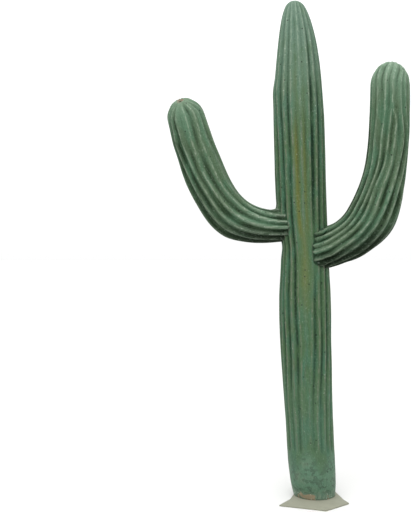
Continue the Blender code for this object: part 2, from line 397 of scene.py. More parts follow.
rightArm = {
    "name": "moulded_right_arm",
    "nodes": ("right_arm_lower", "right_arm_upper"),
    "side": 1,
    "swing": math.radians(13.0),
    "line": ((0.0, 1.365), (0.228, 1.683), (0.527, 1.322), (0.500, 2.600)),
    "radius": ((0.0, 0.116), (0.12, 0.119), (0.34, 0.144), (0.56, 0.124), (0.78, 0.120), (1.0, 0.116)),
    "bulges": ((0.325, 0.060, 8.0 * mm), (0.19, 0.05, 7.0 * mm)),
    "tipLength": 0.150,
    "ribs": 17,
    "pointsPerRib": 12,
    "firstRidge": -14.0,
    "firstStray": -2,
    "strayPlaces": (0.10, 0.17, 0.33, 0.45, 0.56, 0.68, 0.745, 0.785, 1.0),
    "strays": (               # a rib forks off below the pit
        (-8.0, -1.0, -3.0, -7.0, -1.8, -2.0, -3.0, -3.0, -2.0, -1.0),
        (-8.0, -3.0, -7.0, -13.0, -11.0, -12.0, -9.0, -6.0, -4.0, -2.0),
        (-8.0, -9.0, -14.5, -20.5, -23.0, -25.6, -25.5, -21.0, -15.0, -9.0),
        (-8.0, -8.4, -12.0, -22.6, -24.6, -23.0, -23.0, -19.0, -13.0, -8.0),
        (-6.3, -5.8, -5.7, -9.8, -14.0, -12.0, -8.0, -5.0, -3.0, -1.0),
        (-6.5, -9.0, -4.7, -6.7, -10.2, -2.0, -2.0, -2.0, -2.0, -1.0),
        (-5.0, -4.0, -1.0, -4.0, -9.0, -11.0, -13.0, -12.0, -9.0, -5.0),
        (-4.0, -3.0, 0.0, -1.0, -20.0, -15.0, -18.0, -17.0, -14.0, -9.0),
        (-4.0, -4.0, 0.0, -1.0, -20.0, -15.0, -18.0, -17.0, -14.0, -9.0),
    ),
    "wanderAngle": 1.2,
    "wanderSize": 0.22,
    "grooveDepth": 14.0 * mm,
    "ribPower": ((0.0, 1.2), (0.3, 1.5), (0.6, 1.7), (1.0, 1.7)),
    "washPower": ((0.0, 1.25), (0.35, 1.25), (0.55, 0.75), (1.0, 0.8)),
    "washShare": ((0.0, 1.0), (0.35, 0.95), (0.50, 0.78), (0.82, 0.78), (0.92, 1.25), (1.0, 1.25)),
    "ribShare": ((0.0, 1.1), (0.70, 1.0), (0.82, 0.70), (1.0, 0.7)),
    "grooveShare": {          # shallow ones where its ribs leave the trunk
        -3: ((0.0, 0.2), (0.12, 0.2), (0.24, 1.0), (1.0, 1.0)),
        0: ((0.0, 0.45), (0.09, 0.45), (0.18, 1.0), (1.0, 1.0)),
        1: ((0.0, 1.0), (0.55, 1.0), (0.66, 1.4), (0.78, 1.3), (0.84, 1.0), (1.0, 1.0)),
    },
    "pole": (-0.30, 0.25),
    "rootSwell": 23.0 * mm,   # how far its upper side flares out where it leaves the trunk
    # painted shade on both sides of its bend
    "shades": ((-84.0, 22.0, 0.8, 0.12, 0.80), (66.0, 28.0, 0.38, 0.15, 0.80)),
    # paler paint at its tip and on its root's ridges, partly painted light from above
    "tipPale": 1.0,
    "rootPale": 0.15,
    "pit": (0.790, 20.0, 9.0 * mm, 6.0 * mm),
    "noses": ((-90.0, 52.0), (-72.0, 27.0), (-58.0, 19.0), (-33.6, 20.5), (-17.0, 13.5), (-2.0, 13.0),
              (14.0, 14.5), (30.5, 15.5), (47.5, 28.0), (70.0, 56.0), (90.0, 76.0)),
    "rootLine": ((0.0, 1.464), (0.060, 1.4775), (0.178, 1.5124)),
    "seed": 5,
}
armMesh = {
    "lineSteps": 400,
    "rootSteps": 80,
    "rootHandle": 0.06,
    "rowStep": 4.5 * mm,
    "tipRows": 44,
    "start": 0.018,           # how far from the trunk's middle the arm begins, hidden inside it
    "rootShare": 0.1,         # where its thickness at the trunk is read
    "depthSpread": 0.45,      # how much, and over what length, the grooves differ in depth
    "depthSize": 0.18,
    "tipFade": 0.9,
    "tipSink": 1.5 * mm,
}
moulding = {
    "lumpSize": 0.11,
    "lumpHeight": 2.4 * mm,
    "dentSize": 0.030,
    "dentHeight": 0.9 * mm,
    "stretch": 2.5,           # lumps and dents are longer along a limb than across it
    "skinAllowance": 0.4 * mm,
    "footSmooth": 0.05,       # no lumps where the foot meets the plate
}
roots = {
    "noseHeight": 14.0 * mm,   # each rib of an arm ends on the trunk in a blunt raised nose
    "noseLength": 10.0 * mm,
    "noseRounding": 20.0 * mm,
    "noseSlope": 0.45,
    "noseTaper": 0.6,
    "noseFacing": (0.22, 0.50),    # only ribs that face the front this much have one
    "noseAngles": 100.0,      # nor is there one further round the trunk than this
    "grooveBoost": 0.5,       # the grooves between the noses are deeper
    "boostSpan": (0.14, 0.26),
    "swellSpan": (0.11, 0.26),
    "blend": 6.0 * mm,
    "filletReach": 42.0 * mm,
    "filletHeight": 12.0 * mm,
    "filletLength": 0.35,     # how far along an arm, and above or below it, the trunk is rounded to it
    "filletSpan": 0.45,
    # how far the painted shade reaches on the trunk round the ribs' ends
    "trunkNoseShadeReach": 8.5 * mm,
}
trunkHeight = topHeight - footHeight


def trunkMiddle(height):
    x = smooth(trunk["drift"], height)
    return np.stack((x, np.zeros_like(x), footHeight + np.asarray(height, float)), axis=-1)


def trunkRadius(height):
    height = np.asarray(height, float)
    tipStart = trunkHeight - trunk["tipLength"]
    share = np.clip((height - tipStart) / trunk["tipLength"], 0.0, 1.0)
    dome = (1.0 - share ** trunk["tipPower"]) ** trunk["tipBluntness"]
    return smooth(trunk["radius"], np.minimum(height, tipStart)) * dome


def armLine(arm):
    # points along the arm's middle line, how far along it each one is, and the way its face looks
    out = np.array((arm["side"] * math.cos(arm["swing"]), -math.sin(arm["swing"]), 0.0))
    rootHeight = arm["line"][0][1]
    root = np.array((float(smooth(trunk["drift"], rootHeight - footHeight)), 0.0, 0.0))
    ends = [Vector(root + out * reach + up * height) for reach, height in arm["line"]]
    points = np.array(interpolate_bezier(*ends, armMesh["lineSteps"]))
    if "rootLine" in arm:
        # inside the trunk the line levels out, which sets the slope of the ribs' ends
        start, handle, join = [Vector(root + out * reach + up * height) for reach, height in arm["rootLine"]]
        first = int(np.argmin(np.linalg.norm(points - np.array(join), axis=1)))
        slope = Vector(points[first + 1] - points[first]).normalized()
        end = Vector(points[first])
        lastHandle = end - slope * armMesh["rootHandle"]
        hidden = interpolate_bezier(start, handle, lastHandle, end, armMesh["rootSteps"])
        points = np.concatenate((np.array(hidden)[:-1], points[first:]))
    along = np.concatenate(([0.0], np.cumsum(np.linalg.norm(np.diff(points, axis=0), axis=1))))
    return points, along, np.cross(out, up) * arm["side"]


def overTrunk(points):
    # how far points stand outside the trunk's ridges
    height = points[..., 2] - footHeight
    across = points[..., :2] - trunkMiddle(height)[..., :2]
    return np.linalg.norm(across, axis=-1) - trunkRadius(height)


def overArm(points, arm):
    # how far points stand outside the arm's ridges, near its root, and how steeply above it
    line, along, _ = armLine(arm)
    near = (along > armMesh["start"]) & (along < roots["filletLength"])
    radii = smooth(arm["radius"], along[near] / along[-1])
    flat = points.reshape(-1, 3)
    gap = np.full(len(flat), farAway)
    steep = np.zeros(len(flat))
    close = np.flatnonzero(np.abs(flat[:, 2] - line[0][2]) < roots["filletSpan"])
    away = flat[close][:, None, :] - line[near][None, :, :]
    distance = np.linalg.norm(away, axis=2)
    best = np.argmin(distance - radii, axis=1)
    picked = np.arange(len(close))
    gap[close] = (distance - radii)[picked, best]
    steep[close] = away[picked, best, 2] / distance[picked, best]
    return gap.reshape(points.shape[:-1]), steep.reshape(points.shape[:-1])


def fillet(gap, rise):
    # extra height that rounds the corner above an arm; rise is how far up the surface or the gap leans
    near = np.clip(1.0 - np.maximum(gap, 0.0) / roots["filletReach"], 0.0, 1.0)
    return roots["filletHeight"] * near ** 2 * np.maximum(rise, 0.0) ** 2


def noseAngle(arm, lean):
    # where a rib ends on the trunk, for how far below the arm's middle it lies, both in degrees
    return smooth(arm["noses"], np.clip(lean, -90.0, 90.0))


def overNoses(heights, angles, arm):
    # how far points on the trunk are from the ends of the arm's ribs, along its surface
    line, along, _ = armLine(arm)
    reach = np.hypot(line[:, 0] - line[0, 0], line[:, 1])
    degrees = (np.degrees(angles) * arm["side"] + 180.0) % 360.0 - 180.0
    radii = trunkRadius(heights)[:, None]
    out = radii * np.sin(np.radians(np.clip(degrees, 0.0, 90.0)))
    slope = np.arctan(np.interp(out, reach, np.gradient(line[:, 2], reach)))
    above = (footHeight + heights[:, None] - np.interp(out, reach, line[:, 2])) * np.cos(slope)
    size = float(smooth(arm["radius"], armMesh["rootShare"]))
    lean = -np.degrees(np.arcsin(np.clip(above / size, -1.0, 1.0)))
    before = np.radians(noseAngle(arm, lean) - degrees) * radii
    gap = np.maximum(before, np.abs(above) - size)
    return np.where(np.abs(degrees) < roots["noseAngles"], gap, farAway)


def lumpy(unbent, seed):
    # the moulding's slow lumps and small dents, never above its ridges
    stretch = np.array((1.0, 1.0, moulding["stretch"]))
    lumps = softNoise(unbent, moulding["lumpSize"] * stretch, seed)
    dents = softNoise(unbent, moulding["dentSize"] * stretch, seed + 1)
    return (lumps - 1.0) / 2.0 * moulding["lumpHeight"] + (dents - 1.0) / 2.0 * moulding["dentHeight"]


def unbend(radii, angles, places):
    return np.stack(np.broadcast_arrays(
        radii[:, None] * np.sin(angles), -radii[:, None] * np.cos(angles), places[:, None]), axis=-1)


print("stage: trunk")


trunkWearAndPaintedLight = {
    "oliveRuns": ((-14.0, 5.5, 1.0), (3.5, 4.5, 0.7)),    # angle, spread and strength of each run of glaze
    "oliveSpan": (1.52, 1.66, 2.4, 2.7),                  # the heights between which it comes and goes
    "oliveThin": (2.05, 2.35, 0.7),
    "oliveLow": (-7.0, 10.0, 0.62),
    "oliveLowSpan": (0.95, 1.30, 1.55, 1.68),
    # painted shade on the trunk round the ends of the arms' ribs
    "noseShade": 0.8,
    "crestWidth": 0.11,
    "crestGain": 1.6,
    "crestFloor": 0.12,
    "tipSpan": (1.0, 0.05),                               # below the tip
    "rimSpan": (0.02, 0.07),                              # the foot's rim is painted paler, as light bounced up from the plate
    "rimPale": 0.9,
    "rimLitShare": 0.6,
    "footSpan": (0.15, 0.33),                             # the thinner coat ends here, in waves
    "footWaves": (0.05, 5.0),
    "footAbove": (0.22, 0.45, 0.95),
    "chipFront": (-64.0, -52.0, -6.0, 0.0),               # where paint is chipped off the rim
    "chipSpots": ((33.0, 5.0, 0.8), (150.0, 18.0, 1.0)),
    "chipHeight": 0.030,
    "chipPeaks": ((-44.0, 6.0), (-15.0, 7.0)),
    "chipPeakHeight": 0.016,
    "chipEdge": (0.4, 1.3),
}


def trunkMarks(heights, angles, apart, depth, grooveWashAndShade, fade, arms):
    # values from 0 to 1 that say where the painter's colours lie, and where painted shade and painted light
    # lie
    degrees = (np.degrees(angles) + 180.0) % 360.0 - 180.0
    high = heights[:, None]

    rise, risen, fall, fallen = trunkWearAndPaintedLight["oliveSpan"]
    thin, thinned, loss = trunkWearAndPaintedLight["oliveThin"]
    olive = sum(strong * bell(degrees, angle, wide) for angle, wide, strong in trunkWearAndPaintedLight["oliveRuns"])
    olive = olive * ramp(high, rise, risen) * (1.0 - loss * ramp(high, thin, thinned))
    olive = olive * (1.0 - ramp(high, fall, fallen))
    angle, wide, strong = trunkWearAndPaintedLight["oliveLow"]
    rise, risen, fall, fallen = trunkWearAndPaintedLight["oliveLowSpan"]
    lowRun = strong * bell(degrees, angle, wide) * ramp(high, rise, risen)
    olive = olive + lowRun * (1.0 - ramp(high, fall, fallen))

    # painted shade on the trunk round the ends of the arms' ribs
    gap = np.minimum(*[overNoses(heights, angles, arm) for arm in arms])
    around = np.exp(-(np.maximum(gap, 0.0) / roots["trunkNoseShadeReach"]) ** 2)
    crest = np.exp(-(apart / trunkWearAndPaintedLight["crestWidth"]) ** 2) * np.minimum(fade * trunkWearAndPaintedLight["crestGain"], 1.0)
    crest = crest * np.minimum(trunkWearAndPaintedLight["crestFloor"] + depth, 1.0)

    start, end, low, lowEnd = trunkWearAndPaintedLight["chipFront"]
    chips = ramp(degrees, start, end) * (1.0 - ramp(degrees, low, lowEnd))
    for angle, wide, strong in trunkWearAndPaintedLight["chipSpots"]:
        chips = chips + strong * bell(degrees, angle, wide)
    peaks = sum(bell(degrees, angle, wide) for angle, wide in trunkWearAndPaintedLight["chipPeaks"])
    chipTop = trunkWearAndPaintedLight["chipHeight"] + trunkWearAndPaintedLight["chipPeakHeight"] * peaks
    chipStart, chipEnd = [share * chipTop for share in trunkWearAndPaintedLight["chipEdge"]]

    # painted light on the foot's rim, as if bounced up from the plate: paler in the crest and tip marks, with
    # less of the foot's coat
    rim = 1.0 - ramp(high, *trunkWearAndPaintedLight["rimSpan"])
    tall, turns = trunkWearAndPaintedLight["footWaves"]
    footed = 1.0 - ramp(high + tall * np.sin(turns * angles), *trunkWearAndPaintedLight["footSpan"])
    thinCoat, thinStart, thinEnd = trunkWearAndPaintedLight["footAbove"]
    footed = np.maximum(footed, thinCoat * (1.0 - ramp(high, thinStart, thinEnd)))
    # the tip's paleness is partly paler paint and partly painted light from above
    tipStart, tipEnd = [trunkHeight - below for below in trunkWearAndPaintedLight["tipSpan"]]
    return {
        "groove": np.clip(np.maximum(grooveWashAndShade, trunkWearAndPaintedLight["noseShade"] * around), 0.0, 1.0),
        "crest": np.maximum(crest, trunkWearAndPaintedLight["rimPale"] * rim),
        "tip": np.maximum(ramp(high, tipStart, tipEnd), rim),
        "olive": np.clip(olive, 0.0, 1.0),
        "under": np.zeros_like(grooveWashAndShade),
        "foot": footed * (1.0 - trunkWearAndPaintedLight["rimLitShare"] * rim),
        "chip": np.clip(chips, 0.0, 1.0) * (1.0 - ramp(high, chipStart, chipEnd)),
    }


def unbentToWorld(heights, angles):
    spokes = np.cos(angles)[:, None] * front + np.sin(angles)[:, None] * np.cross(up, front)
    return trunkMiddle(heights)[:, None, :] + trunkRadius(heights)[:, None, None] * spokes


def buildTrunk(arms):
    tipStart = trunkHeight - trunk["tipLength"]
    steps = np.arange(1, trunk["tipRows"]) / trunk["tipRows"]
    heights = np.concatenate((
        np.linspace(0.0, tipStart, trunk["bodyRows"]),
        tipStart + trunk["tipLength"] * np.sin(math.pi / 2.0 * steps)))[::-1]
    around = trunk["ribs"] * trunk["pointsPerRib"]
    angles = np.arange(around) * 2.0 * math.pi / around
    radii = trunkRadius(heights)
    skin = unbentToWorld(heights, angles)
    normals = gridNormals(skin)
    normals[-1] = (skin[-1] - trunkMiddle(0.0)) / radii[-1]
    unbent = unbend(radii, angles, heights)

    count = trunk["ribs"]
    walks = wander(heights, count, trunk["wanderSize"], trunk["seed"])
    depths = 1.0 + trunk["depthSpread"] * wander(heights, count, trunk["depthSize"], trunk["seed"] + 8)
    late = np.isin(np.arange(count), trunk["lateGrooves"])
    full = np.where(late, trunk["ribsFull"][1], trunk["ribsFull"][0])
    full = full + trunk["ribsFullSpread"] * wander(np.zeros(1), count, 1.0, trunk["seed"] + 9)
    first = ramp(heights[:, None], trunk["ribsStart"], trunk["ribsStart"] + trunk["ribsRise"])
    rest = ramp(heights[:, None], full, full + trunk["ribsFullRise"])
    depths *= trunk["ribsFirst"] * first + (1.0 - trunk["ribsFirst"]) * rest
    for groove in trunk["panelGrooves"]:
        depths[:, groove] *= smooth(trunk["panelShare"], heights)
    for groove, knots in trunk["grooveShare"].items():
        depths[:, groove] *= smooth(knots, heights)
    slim = radii / radii.max()
    start, end = [trunkHeight - below for below in trunk["tipShallowSpan"]]
    shallow = 1.0 - trunk["tipShallow"] * ramp(heights, start, end)
    depths *= (slim ** trunk["slimPower"] * shallow)[:, None]
    wrapped = np.broadcast_to((angles + math.pi) % (2.0 * math.pi) - math.pi, skin.shape[:2])
    apart, depth = ribField(trunk, wrapped, ribAngles(trunk, heights, walks), depths)
    cut = depth * (1.0 - np.abs(np.cos(math.pi * apart)) ** trunk["ribPower"])

    relief = lumpy(unbent, trunk["seed"]) * ramp(heights, 0.0, moulding["footSmooth"])[:, None]
    relief = relief - cut * trunk["grooveDepth"] - moulding["skinAllowance"]
    relief = relief + fillet(*overArm(skin, arms[0]))
    degrees = (np.degrees(angles) + 180.0) % 360.0 - 180.0
    for height, tall, angle, wide, deep in trunk["hollows"]:
        relief = relief - deep * bell(heights, height, tall)[:, None] * bell(degrees, angle, wide)
    grid = skin + normals * relief[:, :, None]
    fade = ramp(heights, trunk["ribsStart"], trunk["crestFull"])[:, None]
    # dark wash in the grooves, which also serves as painted shade there
    grooveWashAndShade = depth * (1.0 - np.abs(np.cos(math.pi * apart)) ** trunk["washPower"])
    grid[..., 2] -= trunk["tipSink"] * ramp(heights, trunkHeight - trunk["tipSinkSpan"], trunkHeight)[:, None]
    marks = trunkMarks(heights, angles, apart, depth, grooveWashAndShade, fade, arms)
    tip = trunkMiddle(trunkHeight) - trunk["tipSink"] * up
    return fillMesh("moulded_trunk", grid, (tip, trunkMiddle(0.0)), marks, unbent)


trunkPiece = buildTrunk((leftArm, rightArm))

print("stage: arms")


def layRoot(grid, arm, angles, apart, facing):
    # Lays the arm's front ribs onto the trunk, each ending in a blunt nose that is round in plan. Gives
    # the moved grid, and how many nose lengths each point is past the end of its rib.
    height = grid[..., 2] - footHeight
    spoke = grid[..., :2] - trunkMiddle(height)[..., :2]
    reach = np.linalg.norm(spoke, axis=-1)
    trunkReach = trunkRadius(height)
    azimuth = np.degrees(np.arctan2(spoke[..., 0] * arm["side"], -spoke[..., 1]))
    side = np.minimum(2.0 * apart, 1.0)
    rounding = roots["noseRounding"] * (1.0 - np.sqrt(1.0 - side ** 2))
    lean = arm["side"] * ((np.degrees(angles) + 180.0) % 360.0 - 180.0)
    past = np.radians(azimuth - noseAngle(arm, lean)) * trunkReach - rounding
    past = past / roots["noseLength"]
    rise = np.where(past > 0.0, np.sqrt(1.0 - np.clip(1.0 - past, 0.0, 1.0) ** 2), past / roots["noseSlope"])
    taper = np.where(past > 0.0, np.cos(math.pi * apart) ** roots["noseTaper"], 1.0)
    lifted = trunkReach + roots["noseHeight"] * rise * taper
    laid = (reach + lifted + np.sqrt((reach - lifted) ** 2 + roots["blend"] ** 2)) / 2.0
    moved = reach + ramp(facing, *roots["noseFacing"]) * (laid - reach)
    grid = grid.copy()
    grid[..., :2] += spoke * ((moved - reach) / np.maximum(reach, 1.0 * mm))[..., None]
    return grid, past


armWearAndPaintedLight = {
    "noseShade": 0.8,          # painted shade round the end of each rib, its reach in nose lengths, and its end
    "noseShadeReach": 0.35,
    "noseShadeEnd": 0.4,
    "rootPaleSpan": (0.22, 0.45),
    "rootPaleRidge": (0.35, 0.25),
    "lowSpan": (0.0, 0.75),   # how far the skin faces down where painted shade goes under the arm
    "underFade": (0.22, 0.42, 0.7),
    "bendFade": 0.12,
    "crestWidth": (0.10, 0.09),
    "crestSpan": (0.1, 0.6),
    "crestGain": 1.3,
    # painted shade: the dry brush is fainter on ridges that face down
    "crestLow": 0.55,
    "tipLength": 0.30,
    # painted shadow in a pit at the very tip
    "pitSpan": (0.55, 0.85),
    "pitDark": 0.85,
}


def buildArm(arm):
    points, along, face = armLine(arm)
    length = along[-1]
    bodyEnd = length - arm["tipLength"]
    bodyRows = round((bodyEnd - armMesh["start"]) / armMesh["rowStep"])
    steps = np.arange(1, armMesh["tipRows"]) / armMesh["tipRows"]
    places = np.concatenate((
        np.linspace(armMesh["start"], bodyEnd, bodyRows),
        bodyEnd + arm["tipLength"] * np.sin(math.pi / 2.0 * steps)))[::-1]
    around = arm["ribs"] * arm["pointsPerRib"]
    angles = np.arange(around) * 2.0 * math.pi / around

    middles = np.stack([np.interp(places, along, points[:, i]) for i in range(3)], axis=1)
    tangents = np.gradient(points, along, axis=0)
    forward = np.stack([np.interp(places, along, tangents[:, i]) for i in range(3)], axis=1)
    forward /= np.linalg.norm(forward, axis=1, keepdims=True)
    beyond = np.cross(forward, face)
    dome = np.clip(1.0 - (length - places) / arm["tipLength"], 0.0, 1.0)
    bodyRadii = smooth(arm["radius"], places / length)
    radii = bodyRadii * np.sqrt(1.0 - dome ** 2)
    outside = np.maximum(arm["side"] * np.sin(angles), 0.0) ** 2
    corners = sum(high * bell(places / length, place, spread)[:, None] * outside
                  for place, spread, high in arm["bulges"])
    inside = np.maximum(-arm["side"] * np.sin(angles), 0.0) ** 2
    corners = corners + arm["rootSwell"] * (1.0 - ramp(places, *roots["swellSpan"]))[:, None] * inside
    spokes = np.cos(angles)[None, :, None] * face + np.sin(angles)[None, :, None] * beyond[:, None, :]
    skin = middles[:, None, :] + (radii[:, None] + corners)[..., None] * spokes
    normals = gridNormals(skin)
    unbent = unbend(radii, angles, places)

    offset = np.array(arm["pole"])
    full = math.sqrt(1.0 - offset @ offset)
    shift = offset * (bodyRadii * ramp(dome, 0.0, full))[:, None]
    x = radii[:, None] * np.cos(angles) - shift[:, :1]
    y = radii[:, None] * np.sin(angles) - shift[:, 1:]
    reach = np.hypot(x, y)
    count = arm["ribs"]
    walks = wander(places, count, arm["wanderSize"], arm["seed"])
    depths = 1.0 + armMesh["depthSpread"] * wander(places, count, armMesh["depthSize"], arm["seed"] + 8)
    boost = 1.0 + roots["grooveBoost"] * (1.0 - ramp(places, *roots["boostSpan"]))
    depths *= (bodyRadii / bodyRadii.max() * boost)[:, None]
    for groove, knots in arm["grooveShare"].items():
        depths[:, groove] *= smooth(knots, places / length)
    apart, depth = ribField(arm, np.arctan2(y, x), ribAngles(arm, places / length, walks), depths)
    share = (places / length)[:, None]
    wide = reach / bodyRadii[:, None]
    depth = depth * ramp(wide, 0.0, armMesh["tipFade"]) * smooth(arm["ribShare"], share)
    cut = depth * (1.0 - np.abs(np.cos(math.pi * apart)) ** smooth(arm["ribPower"], share))

    relief = lumpy(unbent, arm["seed"]) - cut * arm["grooveDepth"] - moulding["skinAllowance"]
    pitShare, pitAngle, pitRadius, pitDepth = arm["pit"]
    if pitShare == 1.0:
        pit = np.exp(-(reach / pitRadius) ** 2)
    else:
        around = bodyRadii[:, None] * np.radians((np.degrees(angles) - pitAngle + 180.0) % 360.0 - 180.0)
        pit = np.exp(-(around ** 2 + (places[:, None] - pitShare * length) ** 2) / pitRadius ** 2)
    relief = relief - pitDepth * pit
    grid = skin + normals * relief[:, :, None]
    if arm["side"] < 0:
        grid = grid + normals * fillet(overTrunk(grid), normals[:, :, 2])[:, :, None]
    grid, past = layRoot(grid, arm, angles, apart, -spokes[:, :, 1])

    # painted shade round the end of each rib
    shadedRibEnds = np.exp(-(np.maximum(past, 0.0) / armWearAndPaintedLight["noseShadeReach"]) ** 2)
    shadedRibEnds = shadedRibEnds * (places < armWearAndPaintedLight["noseShadeEnd"])[:, None]
    # dark wash in the grooves, which also serves as painted shade there
    grooveWashAndShade = 1.0 - np.abs(np.cos(math.pi * apart)) ** smooth(arm["washPower"], share)
    grooveWashAndShade = grooveWashAndShade * depth * smooth(arm["washShare"], share)
    early = arm["rootPale"] * (1.0 - ramp(share, *armWearAndPaintedLight["rootPaleSpan"]))
    # painted shade on skin that faces down
    low = ramp(-normals[:, :, 2], *armWearAndPaintedLight["lowSpan"])
    degrees = (np.degrees(angles) + 180.0) % 360.0 - 180.0
    # painted shade down the sides given in shades
    shaded = 0.0
    for angle, width, strength, start, end in arm["shades"]:
        bend = ramp(share, start, start + armWearAndPaintedLight["bendFade"])
        bend = bend * (1.0 - ramp(share, end - armWearAndPaintedLight["bendFade"], end))
        shaded = shaded + strength * bell(degrees, angle, width) * bend
    sunk = pit * (pitShare == 1.0)
    narrow, wider = armWearAndPaintedLight["crestWidth"]
    crest = bell(apart, 0.0, narrow + wider * early) * ramp(wide, *armWearAndPaintedLight["crestSpan"])
    crest = crest * np.minimum(armWearAndPaintedLight["crestGain"] * depth, 1.0) * (1.0 - armWearAndPaintedLight["crestLow"] * low)
    # paler tips and root ridges: partly paler paint, partly painted light from above
    tipPale = arm["tipPale"] * ramp(places, length - armWearAndPaintedLight["tipLength"], length)[:, None]
    ridgePale, ridgeWide = armWearAndPaintedLight["rootPaleRidge"]
    fadeStart, fadeEnd, fadeShare = armWearAndPaintedLight["underFade"]
    under = low * (1.0 - fadeShare * ramp(share, fadeStart, fadeEnd))
    # groove holds the wash with painted shade, tip holds paler paint with painted light, under holds painted
    # shade
    marks = {
        "groove": np.clip(np.maximum(grooveWashAndShade, armWearAndPaintedLight["noseShade"] * shadedRibEnds) + shaded, 0.0, 1.0),
        "crest": crest,
        "tip": np.maximum(tipPale, ridgePale * early * bell(apart, 0.0, ridgeWide)),
        "olive": np.zeros_like(cut),
        "under": np.maximum(under, armWearAndPaintedLight["pitDark"] * ramp(sunk, *armWearAndPaintedLight["pitSpan"])),
        "foot": np.zeros_like(cut),
        "chip": 4.0 * sunk * (1.0 - sunk),    # bare round the pit's edge
    }
    ends = (points[-1] - armMesh["tipSink"] * forward[0], middles[-1])
    return fillMesh(arm["name"], grid, ends, marks, unbent)


armPieces = [buildArm(arm) for arm in (leftArm, rightArm)]

print("stage: base plate")

plate = {
    "corners": ((-0.232, -0.207), (0.026, -0.298), (0.179, -0.171), (0.159, -0.108), (0.140, 0.015),
                (0.125, 0.160), (-0.106, 0.150), (-0.124, -0.003), (-0.158, -0.100)),
    "edgeRound": 1.6 * mm,
    "edgeSteps": 3,
    "sharpAngle": 25.0,
}


def buildPlate():
    bm = bmesh.new()
    bottom = bm.faces.new([bm.verts.new((x, y, 0.0)) for x, y in plate["corners"]])
    raised = bmesh.ops.extrude_face_region(bm, geom=[bottom])
    topVerts = [v for v in raised["geom"] if isinstance(v, bmesh.types.BMVert)]
    bmesh.ops.translate(bm, verts=topVerts, vec=(0.0, 0.0, plateTop))
    bmesh.ops.recalc_face_normals(bm, faces=bm.faces)
    bmesh.ops.bevel(bm, geom=list(bm.edges), offset=plate["edgeRound"], segments=plate["edgeSteps"],
                    profile=0.5, affect="EDGES")
    mesh = bpy.data.meshes.new("cut_base_plate")
    bm.to_mesh(mesh)
    bm.free()
    mesh.shade_smooth()
    mesh.set_sharp_from_angle(angle=math.radians(plate["sharpAngle"]))
    return place(bpy.data.objects.new("cut_base_plate", mesh))


platePiece = buildPlate()

print("stage: finishes")

trunkPaint = {
    "name": "brushedAcrylicOnTrunkMoulding",
    "deep": "#1c3021",
    "mid": "#42603f",
    "cool": "#3d644b",
    "foot": "#567761",
    "dry": "#6e6d5e",
    "dryTip": "#96a693",
    "olive": "#5a612c",
    # paler paint at the tips, which also serves as painted light from above
    "pale": "#597261",
    # painted shade under the arms and in the pit at the left arm's tip
    "under": "#121c10",
    "blotch": "#36483a",
    "chip": "#90836b",
    "dust": "#7a7d6c",
    "speck": "#adc0b0",
    "bead": "#b6c7b8",
    # dark as the shade inside a pinhole
    "holeShade": "#1a251c",
    "streakCover": 0.30,      # how much each layer covers what is below it
    "washCover": 0.92,
    "underCover": 0.92,
    "dryCover": 0.72,
    "footCover": 0.8,
    "dustCover": 0.18,
    "stippleCover": 0.20,
    "speckCover": 0.10,
    "holeCover": 0.92,
    "nickCover": 0.18,
    "beadCover": 0.72,
    "ringCover": 1.1,
    "blotchCover": 0.40,
    "washSpan": (0.12, 0.95),
    "chipSpan": (0.24, 0.34),
    "roughSpan": (0.50, 0.66),
    "sheenSpan": (0.28, 0.05),    # the coat is satin, and matt where the wash and the painted shade lie
    "reliefStrength": 0.5,
    "reliefHeight": 0.0008,
    "holeSink": 3.0,
}
armPaint = dict(trunkPaint, name="brushedAcrylicOnArmMoulding", mid="#4c6349", cool="#47694f", deep="#1b2d1a",
                dry="#86927f", dryTip="#9cad9a", pale="#6a846d", chip="#6f6350")
grains = {                    # width across and length along the limb, detail, offset, and the span of noise
    "patches": (0.050, 0.200, 3.0, 3.1, 0.42, 0.64),
    "streaks": (0.010, 0.100, 3.0, 9.4, 0.42, 0.75),
    "tips": (0.060, 0.100, 3.0, 4.4, 0.10, 0.55),
    "olive": (0.020, 0.400, 2.0, 5.7, 0.05, 0.50),
    "grooveWashAndShade": (0.030, 0.120, 3.0, 8.8, 0.14, 0.60),
    "dryBrush": (0.010, 0.045, 4.0, 1.9, 0.36, 0.60),
    "blotches": (0.034, 0.030, 4.0, 7.7, 0.50, 0.66),
    "dust": (0.050, 0.045, 4.0, 3.6, 0.52, 0.70),
    "chips": (0.030, 0.020, 5.0, 6.6, 0.20, 0.80),
    "stipple": (0.007, 0.010, 2.0, 5.2, 0.48, 0.68),
    "specks": (0.008, 0.011, 2.0, 8.3, 0.54, 0.72),
    "skin": (0.004, 0.010, 3.0, 2.2, 0.0, 1.0),
    "roughness": (0.050, 0.100, 2.0, 6.1, 0.20, 0.80),
}
dotSizes = {                  # spacing, radius and offset
    "holes": (0.050, 0.0054, 0.7),
    "nicks": (0.060, 0.0042, 4.3),
    "beads": (0.022, 0.0050, 2.9),
}


def mixColour(tree, factor, low, high):
    # a colour mix takes its factor on socket 0 and its two colours on 6 and 7
    return addNode(tree, "ShaderNodeMix", {0: factor, 6: low, 7: high}, data_type="RGBA").outputs[2]


